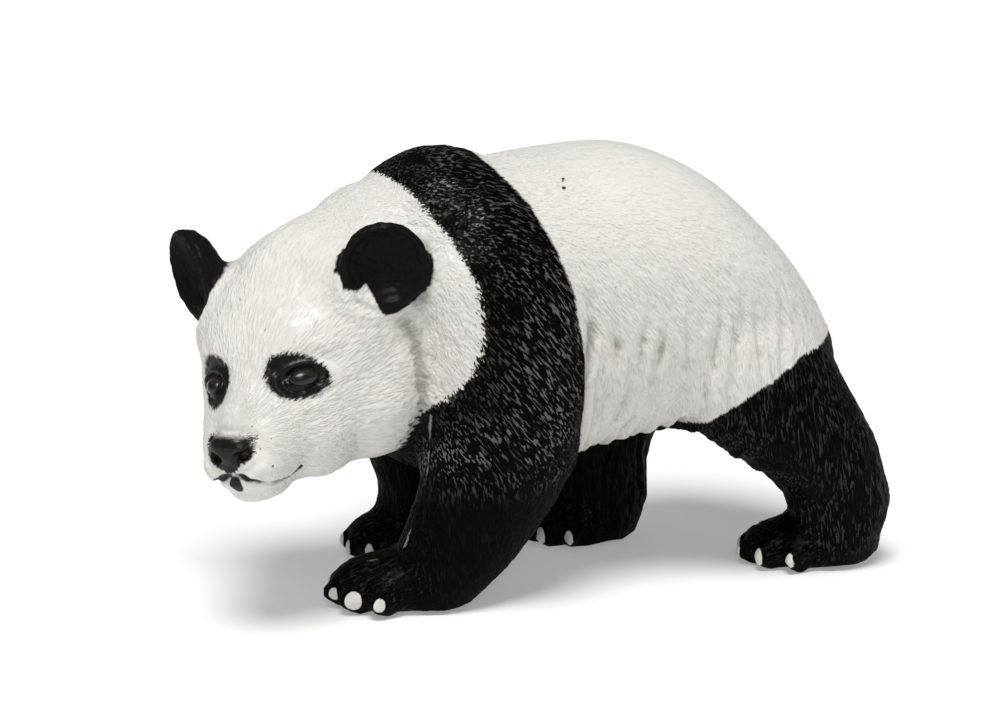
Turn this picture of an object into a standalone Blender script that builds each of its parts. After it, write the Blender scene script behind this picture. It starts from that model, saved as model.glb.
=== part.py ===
"""A giant panda figurine, walking on all fours with its head turned to its left, moulded as one solid.

Run with: blender --background --python part.py
Metres, +Z up. The panda faces -Y, its left side is +X, and its soles stand on Z = 0.
The body is modelled like clay: lofted and round masses are laid on each other, fused by a voxel
remesh, the creases between them are filled, and eyes, nose, mouth, ears and toes are carved in.
"""
import math

import bpy
import numpy as np
from mathutils import Euler, Matrix, Vector

# Driving sizes. Every mass and cut below is a share of the height at the withers.
HEIGHT = 0.0535
SHARE = HEIGHT / 53.5
VOXEL = 0.5 * SHARE
TRIANGLES = 9400

# The head's place and turn, in shares and degrees. Yaw turns the face to the panda's left.
HEAD_CENTRE = (0.2, -34.4, 29.0)
HEAD_YAW = 39.5
HEAD_PITCH = 3.0
HEAD_ROLL = -7.0


def through(rows, count):
    """The rows of a table, carried along a smooth curve to `count` rows."""
    rows = np.array(rows, float)
    ends = np.vstack([2 * rows[0] - rows[1], rows, 2 * rows[-1] - rows[-2]])
    place = np.linspace(0, len(rows) - 1, count)
    start = np.minimum(place.astype(int), len(rows) - 2)
    f = (place - start)[:, None]
    a, b, c, d = ends[start], ends[start + 1], ends[start + 2], ends[start + 3]
    return 0.5 * (2 * b + (c - a) * f + (2 * a - 5 * b + 4 * c - d) * f**2 + (3 * b - a - 3 * c + d) * f**3)


def head_matrix():
    """Carries the head's own frame, with the face to -Y, to its place on the neck."""
    turn = Euler((math.radians(HEAD_PITCH), math.radians(HEAD_ROLL), 0), "YXZ").to_matrix()
    turn = Matrix.Rotation(math.radians(HEAD_YAW), 3, "Z") @ turn
    return Matrix.Translation(HEAD_CENTRE) @ turn.to_4x4()


def carried(points, matrix):
    """Points moved from a frame to where its matrix carries them."""
    matrix = np.array(matrix)
    return points @ matrix[:3, :3].T + matrix[:3, 3]


def local(points, matrix):
    """Points seen in the frame that the matrix carries."""
    return carried(points, matrix.inverted())


class Clay:
    """Closed bodies that lie in one another and are fused afterwards."""

    def __init__(self):
        self.points = []
        self.faces = []
        self.count = 0

    def skin(self, rings, matrix=Matrix.Identity(4)):
        """Closes a body through rings of points, with a point in the middle of each end."""
        rings = np.array(rings, float)
        stages, around = rings.shape[:2]
        ends = np.array([rings[0].mean(0), rings[-1].mean(0)])
        self.points.append(carried(np.vstack([rings.reshape(-1, 3), ends]), matrix))
        first = self.count
        last = first + (stages - 1) * around
        tip = first + stages * around
        for i in range(around):
            j = (i + 1) % around
            for k in range(first, last, around):
                self.faces.append((k + j, k + i, k + around + i, k + around + j))
            self.faces.append((first + i, first + j, tip))
            self.faces.append((last + j, last + i, tip + 1))
        self.count += stages * around + 2

    def upright(self, rows, matrix=Matrix.Identity(4), around=48, stages=44):
        """A body through level ovals. Rows hold height, x, y, half-width in x and half-length in y."""
        a = np.linspace(0, math.tau, around, endpoint=False)
        rings = [
            np.stack([x - rx * np.cos(a), y + ry * np.sin(a), z + 0 * a], 1)
            for z, x, y, rx, ry in through(rows, stages)
        ]
        self.skin(rings, matrix)

    def lengthways(self, rows, matrix=Matrix.Identity(4), squareness=0.88, around=72, stages=60):
        """A body through cross-sections. Rows hold y, x, top height, bottom height and half-width."""
        a = np.linspace(0, math.tau, around, endpoint=False)
        out = np.sign(np.cos(a)) * np.abs(np.cos(a)) ** squareness
        up = np.sign(np.sin(a)) * np.abs(np.sin(a)) ** squareness
        rings = [
            np.stack([x + wide * out, y + 0 * a, (top + low) / 2 + (top - low) / 2 * up], 1)
            for y, x, top, low, wide in through(rows, stages)
        ]
        self.skin(rings, matrix)

    def oval(self, centre, radii, turn=(0, 0, 0), matrix=Matrix.Identity(4)):
        """An ellipsoid. Turn is in degrees about x, y and z."""
        a = np.linspace(0, math.tau, 28, endpoint=False)
        rings = [
            np.stack([math.cos(t) * np.cos(a), math.cos(t) * np.sin(a), math.sin(t) + 0 * a], 1)
            for t in np.linspace(1.5, -1.5, 17)
        ]
        spin = Euler([math.radians(t) for t in turn]).to_matrix().to_4x4()
        self.skin(rings, matrix @ Matrix.Translation(centre) @ spin @ Matrix.Diagonal((*radii, 1)))

    def mesh(self):
        mesh = bpy.data.meshes.new("clay")
        mesh.from_pydata(np.vstack(self.points) * SHARE, [], self.faces)
        return mesh


TORSO = (
    # y, x, top, bottom, half-width
    (-29.5, -1.0, 43.0, 25.0, 7.5),
    (-27.0, -1.0, 48.5, 20.0, 11.5),
    (-22.0, -0.8, 52.0, 16.5, 14.0),
    (-14.0, -0.5, 51.4, 15.0, 15.0),
    (-4.0, 0.2, 52.2, 15.2, 15.6),
    (5.0, 1.2, 52.3, 17.0, 16.4),
    (13.0, 2.0, 49.2, 17.6, 16.4),
    (20.0, 2.6, 43.4, 18.0, 14.6),
    (25.6, 3.0, 36.8, 18.8, 11.6),
    (29.4, 3.2, 30.5, 20.0, 8.0),
    (31.2, 3.2, 26.5, 23.0, 3.5),
)


def torso(clay):
    clay.lengthways(TORSO)
    # Shoulder hump
    clay.oval((-0.5, -18, 40), (13.5, 12, 13.4))
    for side in (-1, 1):
        # Shoulder blade
        clay.oval((side * 8.4 - 0.5, -15.2, 35.5), (8.8, 9.0, 14.5), (6, 0, 0))
    # Chest between the fore legs, and belly
    clay.oval((-0.5, -19, 24), (12, 10, 10))
    clay.oval((0.6, -5, 24), (14, 13, 8.6))
    # Tail, pressed flat on the rump
    clay.oval((3.2, 30.4, 27.5), (3.2, 1.8, 4.0), (28, 0, 0))


LEFT_FORE = (
    # height, x, y, half-width, half-length
    (46, 8.0, -17.0, 5.5, 7.0),
    (41, 9.6, -16.4, 7.6, 9.0),
    (34, 10.6, -14.8, 8.4, 10.0),
    (27, 10.8, -14.0, 8.4, 10.4),
    (20, 10.5, -14.4, 7.8, 10.0),
    (14, 10.0, -15.8, 7.0, 9.2),
    (9, 9.4, -18.2, 6.4, 8.6),
    (4.5, 9.0, -20.8, 6.0, 7.4),
    (0.5, 8.6, -23.2, 5.0, 5.0),
)
RIGHT_FORE = (
    (46, -9.0, -16.0, 5.5, 7.0),
    (41, -10.6, -15.4, 7.6, 9.0),
    (34, -11.6, -14.2, 8.2, 9.6),
    (27, -11.8, -13.8, 8.2, 9.6),
    (20, -11.4, -15.4, 7.4, 9.0),
    (14, -11.4, -15.8, 6.4, 7.6),
    (9, -11.4, -15.0, 6.0, 6.8),
    (4.5, -11.6, -15.4, 5.8, 6.6),
    (0.5, -11.8, -16.4, 4.8, 4.8),
)
LEFT_HIND = (
    (38, 7.0, 13.5, 6.5, 8.0),
    (33, 9.5, 14.6, 8.2, 10.4),
    (27, 11.0, 16.2, 8.4, 11.8),
    (21, 12.0, 19.2, 7.8, 12.0),
    (16, 12.8, 23.4, 7.0, 10.4),
    (12, 13.2, 26.9, 6.4, 8.0),
    (8, 13.4, 29.2, 5.8, 6.6),
    (4, 13.4, 28.9, 5.2, 5.9),
    (0.5, 13.2, 28.0, 4.2, 4.4),
)
RIGHT_HIND = (
    (38, -4.0, 15.0, 7.0, 8.5),
    (33, -6.5, 15.0, 8.6, 10.5),
    (27, -8.0, 12.6, 8.4, 10.5),
    (21, -8.6, 9.6, 7.8, 9.2),
    (16, -8.8, 7.6, 7.2, 8.2),
    (12, -8.6, 6.4, 6.6, 7.2),
    (8, -8.6, 6.6, 6.2, 6.8),
    (4, -8.6, 6.6, 6.0, 6.4),
    (0.5, -8.6, 6.0, 5.0, 5.0),
)

# Each paw: middle of the sole, heading in degrees to the panda's left, length, width and height.
PAWS = {
    "left_fore": ((7.2, -25.9), -20, 18.4, 12.8, 7.8),
    "right_fore": ((-12.0, -18.6), 0, 14.6, 12.0, 7.2),
    "left_hind": ((11.7, 26.4), -18, 18.0, 11.4, 7.2),
    "right_hind": ((-9.0, 4.6), -8, 16.0, 11.6, 7.2),
}
TOES = 5
SOLE = 0.12
TOE_SPREAD = 64.0
TOE_TURN = 8.0


def paw_matrix(name):
    """Carries a paw's own frame, toes to -Y and its middle over the origin, to its place."""
    (x, y), heading = PAWS[name][:2]
    return Matrix.Translation((x, y, 0)) @ Matrix.Rotation(math.radians(heading), 4, "Z")


def toe_places(name):
    """Each toe's middle, its heading in degrees and its radius, in the paw's frame."""
    _, _, length, width, height = PAWS[name]
    toe = width * 0.138
    for i in range(TOES):
        a = math.radians(TOE_SPREAD * (i / (TOES - 1) * 2 - 1) + TOE_TURN)
        x = math.sin(a) * (width / 2 - toe * 0.7)
        y = -math.cos(a) * (length / 2 - toe * 1.3)
        yield (x, y, height * 0.27), math.degrees(a) * 0.6, toe


def paw(clay, name):
    _, _, length, width, height = PAWS[name]
    matrix = paw_matrix(name)
    clay.oval((0, -0.5, height * 0.38), (width * 0.47, length * 0.455, height * 0.46), matrix=matrix)
    clay.oval((0, length * 0.24, height * 0.42), (width * 0.42, length * 0.24, height * 0.5), matrix=matrix)
    for place, heading, toe in toe_places(name):
        clay.oval(place, (toe, toe * 1.5, height * 0.28), (0, 0, heading), matrix)


HEAD = (
    # y, x, top, bottom, half-width
    (13.0, 0, 6.0, -7.0, 8.0),
    (9.0, 0, 9.4, -10.6, 11.6),
    (4.0, 0, 12.6, -12.2, 13.2),
    (-1.0, 0, 13.4, -12.4, 13.0),
    (-6.0, 0, 12.5, -12.0, 11.4),
    (-10.0, 0, 9.0, -11.4, 9.4),
    (-13.0, 0, 4.8, -11.2, 7.6),
    (-16.2, 0, 0.4, -11.2, 6.2),
    (-18.8, 0, -2.6, -10.4, 4.6),
    (-20.4, 0, -4.2, -9.2, 3.0),
)
# Each ear, left +1 and right -1: middle in the head's frame, and radius
EARS = {1: ((13.7, -3.5, 12.0), 5.3), -1: ((13.8, -2.0, 11.1), 5.9)}
EAR_DEPTH = 3.8
EAR_OUTWARD = 37.0


def ear_matrix(side):
    """Carries an ear's own frame, its hollow facing -Y, to the head."""
    x, y, z = EARS[side][0]
    turn = Euler((math.radians(4), math.radians(side * 22), math.radians(side * EAR_OUTWARD)))
    return head_matrix() @ Matrix.Translation((side * x, y, z)) @ turn.to_matrix().to_4x4()


def head(clay):
    place = head_matrix()
    clay.lengthways(HEAD, place, squareness=0.9)
    # Crown
    clay.oval((0, 1.0, 1.8), (12.6, 11.4, 11.6), matrix=place)
    for side in (-1, 1):
        # Temple, cheek and upper lip
        clay.oval((side * 7.6, 0.0, 4.0), (6.2, 8.6, 8.4), matrix=place)
        clay.oval((side * 9.2, 1.8, -0.5), (5.8, 8.0, 8.0), matrix=place)
        clay.oval((side * 7.0, 0.4, -4.0), (7.0, 9.5, 7.8), matrix=place)
        clay.oval((side * 4.2, -8.0, -5.6), (5.4, 7.6, 6.0), matrix=place)
        clay.oval((side * 2.4, -16.8, -7.4), (3.0, 3.8, 2.4), matrix=place)
    # Bridge of the nose, nose and chin
    clay.oval((0, -14.6, -1.4), (2.8, 6.0, 3.2), (20, 0, 0), place)
    clay.oval((0, -19.8, -4.9), (3.0, 1.8, 1.9), (10, 0, 0), place)
    clay.oval((0, -15.0, -10.6), (3.4, 4.2, 1.9), (0, 0, 0), place)
    for side in (-1, 1):
        matrix = ear_matrix(side)
        radius = EARS[side][1]
        clay.oval((0, 0, 0), (radius, EAR_DEPTH, radius), matrix=matrix)
        clay.oval((-side * 1.6, 0.6, -3.0), (3.8, 2.8, 4.0), matrix=matrix)
    # Neck, from the back of the head to the shoulders
    clay.oval((-0.6, -26.0, 36.6), (12.4, 10.5, 13.2))
    clay.oval((-2.2, -34.0, 35.6), (9.5, 9.8, 9.3))
    clay.oval((3.0, -31.5, 38.6), (8.6, 8.0, 7.2))
    clay.oval((-0.3, -34.4, 39.8), (7.2, 10.5, 6.2), (29, 0, 0))


def clay_masses():
    clay = Clay()
    torso(clay)
    for rows in (LEFT_FORE, RIGHT_FORE, LEFT_HIND, RIGHT_HIND):
        clay.upright(rows)
    for name in PAWS:
        paw(clay, name)
    head(clay)
    return clay.mesh()


def with_modifier(mesh, kind, **settings):
    """The mesh after one modifier."""
    obj = bpy.data.objects.new("clay", mesh)
    bpy.context.scene.collection.objects.link(obj)
    modifier = obj.modifiers.new(kind.lower(), kind)
    for setting, value in settings.items():
        setattr(modifier, setting, value)
    graph = bpy.context.evaluated_depsgraph_get()
    made = bpy.data.meshes.new_from_object(obj.evaluated_get(graph), depsgraph=graph)
    bpy.data.objects.remove(obj)
    return made


class Surface:
    """A mesh's points as an array, with the smoothing and pressing that a thumb would do."""

    def __init__(self, mesh):
        self.mesh = mesh
        count = len(mesh.vertices)
        points = np.empty(count * 3, np.float32)
        mesh.vertices.foreach_get("co", points)
        self.points = points.reshape(-1, 3).astype(float) / SHARE
        edges = np.empty(len(mesh.edges) * 2, np.int32)
        mesh.edges.foreach_get("vertices", edges)
        a, b = edges.reshape(-1, 2).T
        self.start = np.concatenate([a, b])
        self.end = np.concatenate([b, a])
        self.degree = np.bincount(self.start, minlength=count).astype(float)[:, None]

    def store(self):
        self.mesh.vertices.foreach_set("co", (self.points * SHARE).astype(np.float32).ravel())
        self.mesh.update()

    def normals(self):
        self.store()
        found = np.empty(len(self.points) * 3, np.float32)
        self.mesh.vertices.foreach_get("normal", found)
        return found.reshape(-1, 3).astype(float)

    def drift(self):
        """From each point to the mean of its neighbours."""
        count = len(self.points)
        total = [np.bincount(self.start, self.points[self.end, k], count) for k in range(3)]
        return np.stack(total, axis=1) / self.degree - self.points

    def smooth(self, times, weight=1.0):
        """Takes the voxels' steps away without shrinking the form."""
        for _ in range(times):
            for pull in (0.5, -0.52):
                self.points += pull * weight * self.drift()

    def fill(self, times, weight=1.0):
        """Fills the creases, and leaves what stands proud."""
        for _ in range(times):
            normals = self.normals()
            drift = self.drift()
            out = (drift * normals).sum(1, keepdims=True)
            self.points += weight * (0.9 * np.maximum(out, 0) * normals + 0.25 * (drift - out * normals))


def nearness(points, centre, radius):
    """1 at the centre, falling smoothly to 0 at the radius. Radius may be one size or three."""
    away = (points - np.array(centre)) / np.array(radius)
    far = np.clip(1 - (away**2).sum(1), 0, 1)
    return (far * far * (3 - 2 * far))[:, None]


def ridge(distance, width):
    """1 on a line, falling smoothly to 0 at the width."""
    return np.exp(-((distance / width) ** 2) * 2.5)[:, None]


def from_line(points, line):
    """Each point's distance to a chain of straight pieces."""
    line = np.array(line, float)
    best = np.full(len(points), np.inf)
    for a, b in zip(line, line[1:]):
        along = np.clip((points - a) @ (b - a) / ((b - a) @ (b - a)), 0, 1)
        best = np.minimum(best, np.linalg.norm(points - a - along[:, None] * (b - a), axis=1))
    return best


# Places on the face, in the head's frame. The panda's left side is written, and mirrored for the right.
EYES = {1: (6.5, -12.6, 1.4), -1: (5.3, -13.3, 0.9)}
EYE_WIDTH = 1.75
EYE_HEIGHT = 1.15
NOSE = (0, -20.6, -5.3)
NOSE_WIDTH = 3.2
NOSE_HEIGHT = 2.2
NOSTRIL = (1.75, -21.0, -5.9)
MOUTH = ((0, -20.6, -8.4), (1.2, -20.3, -8.6), (2.6, -20.0, -9.1), (3.5, -18.4, -9.7), (4.4, -16.0, -9.4), (5.5, -14.6, -8.4))
RUFF = ((13.0, -1.5, 8.0), (14.6, -1.0, 3.0), (14.6, -0.8, -3.0), (12.5, -0.5, -8.5), (9.0, -1.0, -12.0))


def carve_face(surface):
    place = head_matrix()
    turn = np.array(place)[:3, :3]
    for side in (-1, 1):
        p = local(surface.points, place) * (side, 1, 1)
        forward = p[:, 1] < -4
        eye = EYES[side]
        # Socket, eyeball and the two lids round it
        across = (p[:, 0] - eye[0]) - 0.2 * (p[:, 2] - eye[2])
        rise = (p[:, 2] - eye[2]) + 0.2 * (p[:, 0] - eye[0])
        round_eye = np.hypot(across / EYE_WIDTH, rise / EYE_HEIGHT)
        depth = -0.9 * nearness(p, eye, (4.4, 7.0, 3.6))
        depth += 1.0 * np.clip(1 - round_eye**2, 0, 1)[:, None] ** 0.8 * forward[:, None]
        depth += 0.3 * ridge(round_eye - 1.5, 0.5) * forward[:, None]
        depth -= 0.25 * ridge(round_eye - 1.02, 0.22) * forward[:, None]
        # Brow above the socket
        depth += 0.35 * nearness(p, (6.0, -11.5, 5.2), (6.0, 6.0, 3.6))
        # Nostril
        depth -= 0.9 * nearness(p, NOSTRIL, (1.15, 2.2, 0.95))
        depth -= 0.5 * nearness(p, (2.9, -20.2, -5.2), (1.2, 1.8, 0.8))
        # Mouth
        depth -= 0.75 * ridge(from_line(p, MOUTH), 0.55)
        # Fur of the cheek, standing over the neck
        depth -= 0.4 * ridge(from_line(p, RUFF), 1.3)
        surface.points += depth * surface.normals()
    p = local(surface.points, place)
    round_nose = np.hypot(p[:, 0] / NOSE_WIDTH, (p[:, 2] - NOSE[2]) / NOSE_HEIGHT)
    front = (p[:, 1] < -17.5)[:, None]
    depth = -0.4 * ridge(round_nose - 1.18, 0.22) * front
    depth -= 0.5 * ridge(from_line(p, ((0, -21.8, -6.6), (0, -20.8, -9.0))), 0.5)
    surface.points += depth * surface.normals()


def carve_ears(surface):
    for side in (-1, 1):
        place = ear_matrix(side)
        p = local(surface.points, place)
        inward = np.array(place)[:3, 1]
        span = np.hypot(p[:, 0], p[:, 2]) / EARS[side][1]
        front = np.clip(0.5 - p[:, 1], 0, 1) * (span < 1.1) * (np.abs(p[:, 1]) < 5)
        flat = np.clip(-0.65 * p[:, 1], 0, 3) * np.clip((1.15 - span) / 0.15, 0, 1)
        hollow = 2.6 * np.clip(1 - (span / 0.8) ** 2, 0, 1) ** 0.7
        surface.points += ((hollow + flat) * front)[:, None] * inward
        surface.points -= (0.3 * front)[:, None] * ridge(span - 0.66, 0.08) * inward


def carve_paws(surface):
    for name in PAWS:
        place = paw_matrix(name)
        p = local(surface.points, place)
        normals = surface.normals()
        toes = list(toe_places(name))
        length, height = PAWS[name][2], PAWS[name][4]
        depth = np.zeros((len(p), 1))
        for (a, turn_a, toe), (b, turn_b, _) in zip(toes, toes[1:]):
            middle = (np.array(a) + np.array(b)) / 2
            heading = math.radians((turn_a + turn_b) / 2)
            back = np.array((-math.sin(heading), math.cos(heading), 0.0))
            front = middle - back * toe * 2.2
            rear = middle + back * toe * 1.6 + np.array((0, 0, height * 0.3))
            middle[2] = height * 0.55
            groove = ridge(from_line(p, (front, middle, rear)), toe * 0.5)
            depth -= 0.4 * groove * (p[:, 2:] > 0.4)
        for (x, y, z), turn_toe, toe in toes:
            heading = math.radians(turn_toe)
            tip = np.array((x + math.sin(heading) * toe * 1.8, y - math.cos(heading) * toe * 1.8, height * 0.2))
            claw = nearness(p, tip, (toe * 0.75, toe * 1.0, height * 0.24))
            depth += 0.4 * claw
        surface.points += depth * normals


FOLDS = (
    ((16.0, -5.5, 22), (16.5, -5.0, 30), (16.0, -5.5, 37)),
    ((16.5, -1.5, 19), (17.0, -1.0, 25), (16.5, -2.0, 31)),
    ((16.8, 2.5, 20), (17.5, 3.2, 26), (17.0, 3.0, 31)),
)


def carve_body(surface):
    p = surface.points
    depth = np.zeros((len(p), 1))
    for fold in FOLDS:
        for side in (1, -1):
            depth -= 0.45 * ridge(from_line(p * (side, 1, 1), fold), 1.3)
    surface.points += depth * surface.normals()


def build():
    mesh = with_modifier(clay_masses(), "REMESH", mode="VOXEL", voxel_size=VOXEL)
    surface = Surface(mesh)
    fine = np.ones((len(surface.points), 1))
    for name in PAWS:
        _, _, length, width, height = PAWS[name]
        own = local(surface.points, paw_matrix(name))
        fine -= 0.6 * nearness(own, (0, -length * 0.36, 0), (width, length * 0.5, height))
    face = local(surface.points, head_matrix())
    fine -= 0.6 * nearness(face, (0, -20, -6), (10, 12, 10))
    for side in (-1, 1):
        fine -= 0.5 * nearness(face, (side * EARS[side][0][0], *EARS[side][0][1:]), 7)
    fine = np.clip(fine, 0.1, 1)
    surface.smooth(3)
    surface.fill(24, fine)
    surface.smooth(4)
    carve_body(surface)
    carve_face(surface)
    carve_ears(surface)
    carve_paws(surface)
    surface.smooth(1)
    surface.points[:, 2] = np.maximum(surface.points[:, 2], 0)
    surface.store()
    return thinned(surface)


def thinned(surface):
    """Fewer, larger triangles, which stay small on the face, the ears and the toes."""
    face = local(surface.points, head_matrix())
    keep = 0.30 + 0.45 * nearness(face, (0, -15, -3), (13, 12, 14))
    keep += 0.25 * nearness(face, (0, -20, -6), (7, 8, 7))
    for side in (-1, 1):
        keep += 0.45 * nearness(face, (side * EYES[side][0], *EYES[side][1:]), 4.5)
        keep += 0.35 * nearness(face, (side * EARS[side][0][0], *EARS[side][0][1:]), 8)
    for name in PAWS:
        _, _, length, width, height = PAWS[name]
        own = local(surface.points, paw_matrix(name))
        keep += 0.55 * nearness(own, (0, -length * 0.42, height * 0.3), (width * 0.8, length * 0.4, height * 0.9))
    keep = np.clip(keep, 0, 1).ravel()
    obj = bpy.data.objects.new("clay", surface.mesh)
    bpy.context.scene.collection.objects.link(obj)
    group = obj.vertex_groups.new(name="open")
    for step in range(21):
        share = step / 20
        members = np.flatnonzero(np.round(keep * 20) == step).tolist()
        group.add(members, 1 - share, "REPLACE")
    fold = obj.modifiers.new("triangles", "TRIANGULATE")
    fold.quad_method = "BEAUTY"
    thin = obj.modifiers.new("thin", "DECIMATE")
    thin.vertex_group = "open"
    thin.vertex_group_factor = 1.0
    thin.use_collapse_triangulate = True
    thin.ratio = TRIANGLES / (2 * len(surface.mesh.polygons))
    graph = bpy.context.evaluated_depsgraph_get()
    made = bpy.data.meshes.new_from_object(obj.evaluated_get(graph), depsgraph=graph)
    bpy.data.objects.remove(obj)
    thin_surface = Surface(made)
    soles = thin_surface.points[:, 2] < SOLE
    thin_surface.points[soles, 2] = 0
    return thin_surface


def vinyl():
    """Moulded vinyl, painted satin."""
    material = bpy.data.materials.new("painted_vinyl")
    material.use_nodes = True
    shader = material.node_tree.nodes["Principled BSDF"]
    shader.inputs["Base Color"].default_value = (0.72, 0.72, 0.68, 1)
    shader.inputs["Roughness"].default_value = 0.42
    shader.inputs["IOR"].default_value = 1.53
    return material


def main():
    for old in list(bpy.data.objects):
        bpy.data.objects.remove(old)
    surface = build()
    # The frame's origin is on the ground, under the middle of the whole figure.
    low, high = surface.points.min(0), surface.points.max(0)
    surface.points[:, :2] -= ((low + high) / 2)[:2]
    surface.store()
    surface.mesh.materials.clear()
    surface.mesh.materials.append(vinyl())
    surface.mesh.shade_smooth()
    panda = bpy.data.objects.new("panda", surface.mesh)
    figurine = bpy.data.collections.new("panda_figurine")
    bpy.context.scene.collection.children.link(figurine)
    figurine.objects.link(panda)
    print("length, width, height in mm:", ((high - low)[[1, 0, 2]] * SHARE * 1000).round(2))
    print("shift to the frame in shares:", (-(low + high) / 2).round(3)[:2], "triangles:", len(surface.mesh.polygons))


main()
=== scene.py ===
# %% [markdown]
# # A walking panda, moulded in vinyl and painted
# The real figurine is one hollow or solid casting of soft vinyl, about as long as a hand is wide. Its fur
# is cut into the mould as short combed strands, and the black coat, nose, eyes and claws are painted on
# afterwards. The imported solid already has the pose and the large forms, so this script starts from that
# solid. It refines a copy of it, combs the fur into the copy, and lays the paint on with a material. The
# order is that of the workshop: skin, face, ears, fur, paint, light.

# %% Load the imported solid
import math
from itertools import chain

import bmesh
import bpy
import numpy as np
from mathutils import Euler, Matrix, Vector, kdtree


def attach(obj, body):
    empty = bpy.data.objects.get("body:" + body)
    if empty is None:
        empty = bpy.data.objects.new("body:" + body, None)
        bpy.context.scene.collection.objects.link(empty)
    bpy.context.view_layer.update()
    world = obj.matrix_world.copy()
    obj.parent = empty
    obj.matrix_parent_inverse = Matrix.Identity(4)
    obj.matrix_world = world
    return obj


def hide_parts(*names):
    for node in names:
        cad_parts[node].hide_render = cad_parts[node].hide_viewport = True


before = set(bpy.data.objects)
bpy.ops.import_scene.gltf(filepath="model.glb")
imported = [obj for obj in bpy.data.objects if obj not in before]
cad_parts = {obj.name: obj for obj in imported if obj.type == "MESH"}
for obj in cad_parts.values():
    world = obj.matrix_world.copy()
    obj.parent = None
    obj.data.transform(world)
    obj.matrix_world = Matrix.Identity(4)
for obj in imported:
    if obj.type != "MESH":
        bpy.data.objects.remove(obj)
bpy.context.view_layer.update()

# %% [markdown]
# ## The drawing frame
# The figurine was drawn in millimetres, with its front towards -Y, its left side towards +X and the ground
# at 0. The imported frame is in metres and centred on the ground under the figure, so one shift leads from
# one to the other. The head, the ears and the paws each have a frame of their own, because a nostril or a
# claw is easiest to place from the middle of the head or of the paw that it belongs to.

# %% Frames of the head, the ears and the paws
MM = 0.001
DRAWING_SHIFT = np.array((0.11, 7.803, 0.0))

HEAD_CENTRE = (0.2, -34.4, 29.0)
HEAD_TURNS = {"yaw": 39.5, "pitch": 3.0, "roll": -7.0}
# Each ear, left +1 and right -1: middle in the head's frame, and radius
EARS = {1: ((13.7, -3.5, 12.0), 5.3), -1: ((13.8, -2.0, 11.1), 5.9)}
# Each paw: middle of the sole, heading to the panda's left, length, width, height
PAWS = {
    "left_fore": ((7.2, -25.9), -20, 18.4, 12.8, 7.8),
    "right_fore": ((-12.0, -18.6), 0, 14.6, 12.0, 7.2),
    "left_hind": ((11.7, 26.4), -18, 18.0, 11.4, 7.2),
    "right_hind": ((-9.0, 4.6), -8, 16.0, 11.6, 7.2),
}


def head_matrix():
    pitch = math.radians(HEAD_TURNS["pitch"])
    roll = math.radians(HEAD_TURNS["roll"])
    yaw = Matrix.Rotation(math.radians(HEAD_TURNS["yaw"]), 3, "Z")
    turn = yaw @ Euler((pitch, roll, 0), "YXZ").to_matrix()
    return Matrix.Translation(HEAD_CENTRE) @ turn.to_4x4()


def ear_matrix(side):
    x, y, z = EARS[side][0]
    turn = Euler((math.radians(4), math.radians(side * 22), math.radians(side * 37)))
    return head_matrix() @ Matrix.Translation((side * x, y, z)) @ turn.to_matrix().to_4x4()


def paw_matrix(name):
    (x, y), heading = PAWS[name][:2]
    return Matrix.Translation((x, y, 0)) @ Matrix.Rotation(math.radians(heading), 4, "Z")


def local(points, matrix):
    """Points of the drawing, seen in the frame that the matrix carries."""
    matrix = np.array(matrix.inverted())
    return points @ matrix[:3, :3].T + matrix[:3, 3]


print("head at", HEAD_CENTRE, "and", len(PAWS), "paws")

# %% [markdown]
# ## A surface that can be worked like wax
# A sculptor's tool moves wax along the surface's own normal. The class below keeps a mesh's points in one
# array, in millimetres, so that a stroke over a quarter of a million points is a single expression.
# Smoothing pulls each point to the mean of its neighbours and then pushes it back a little further, which
# takes ripples away and keeps size.

# %% The worked surface
class Surface:
    def __init__(self, mesh):
        self.mesh = mesh
        count = len(mesh.vertices)
        points = np.empty(count * 3, np.float32)
        mesh.vertices.foreach_get("co", points)
        self.points = points.reshape(-1, 3).astype(float) / MM - DRAWING_SHIFT
        edges = np.empty(len(mesh.edges) * 2, np.int32)
        mesh.edges.foreach_get("vertices", edges)
        a, b = edges.reshape(-1, 2).T
        self.start = np.concatenate([a, b])
        self.end = np.concatenate([b, a])
        self.degree = np.bincount(self.start, minlength=count).astype(float)[:, None]

    def store(self):
        points = (self.points + DRAWING_SHIFT) * MM
        self.mesh.vertices.foreach_set("co", points.astype(np.float32).ravel())
        self.mesh.update()

    def normals(self):
        self.store()
        found = np.empty(len(self.points) * 3, np.float32)
        self.mesh.vertices.foreach_get("normal", found)
        return found.reshape(-1, 3).astype(float)

    def mean_of_neighbours(self, values):
        total = [np.bincount(self.start, values[self.end, k], len(values)) for k in range(values.shape[1])]
        return np.stack(total, axis=1) / self.degree

    def smooth(self, times, weight=1.0):
        for _ in range(times):
            for pull in (0.5, -0.52):
                self.points += pull * weight * (self.mean_of_neighbours(self.points) - self.points)

    def spread(self, values, times):
        """A value per point, blurred over the surface."""
        values = values.reshape(len(self.points), -1)
        for _ in range(times):
            values = self.mean_of_neighbours(values)
        return values

    def note(self, name, values):
        """Writes a value per point where a material can read it."""
        vector = values.ndim == 2 and values.shape[1] == 3
        kind = "FLOAT_VECTOR" if vector else "FLOAT"
        attribute = self.mesh.attributes.new(name, kind, "POINT")
        attribute.data.foreach_set("vector" if vector else "value", values.astype(np.float32).ravel())


def nearness(points, centre, radius):
    """1 at the centre, falling smoothly to 0 at the radius. Radius may be one size or three."""
    away = (points - np.array(centre)) / np.array(radius)
    far = np.clip(1 - (away**2).sum(1), 0, 1)
    return far * far * (3 - 2 * far)


def ridge(distance, width):
    """1 on a line, falling smoothly to 0 at the width."""
    return np.exp(-((distance / width) ** 2) * 2.5)


def ease(values, low, high):
    """0 below low, 1 above high, smooth between them."""
    f = np.clip((values - low) / (high - low), 0, 1)
    return f * f * (3 - 2 * f)


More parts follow.
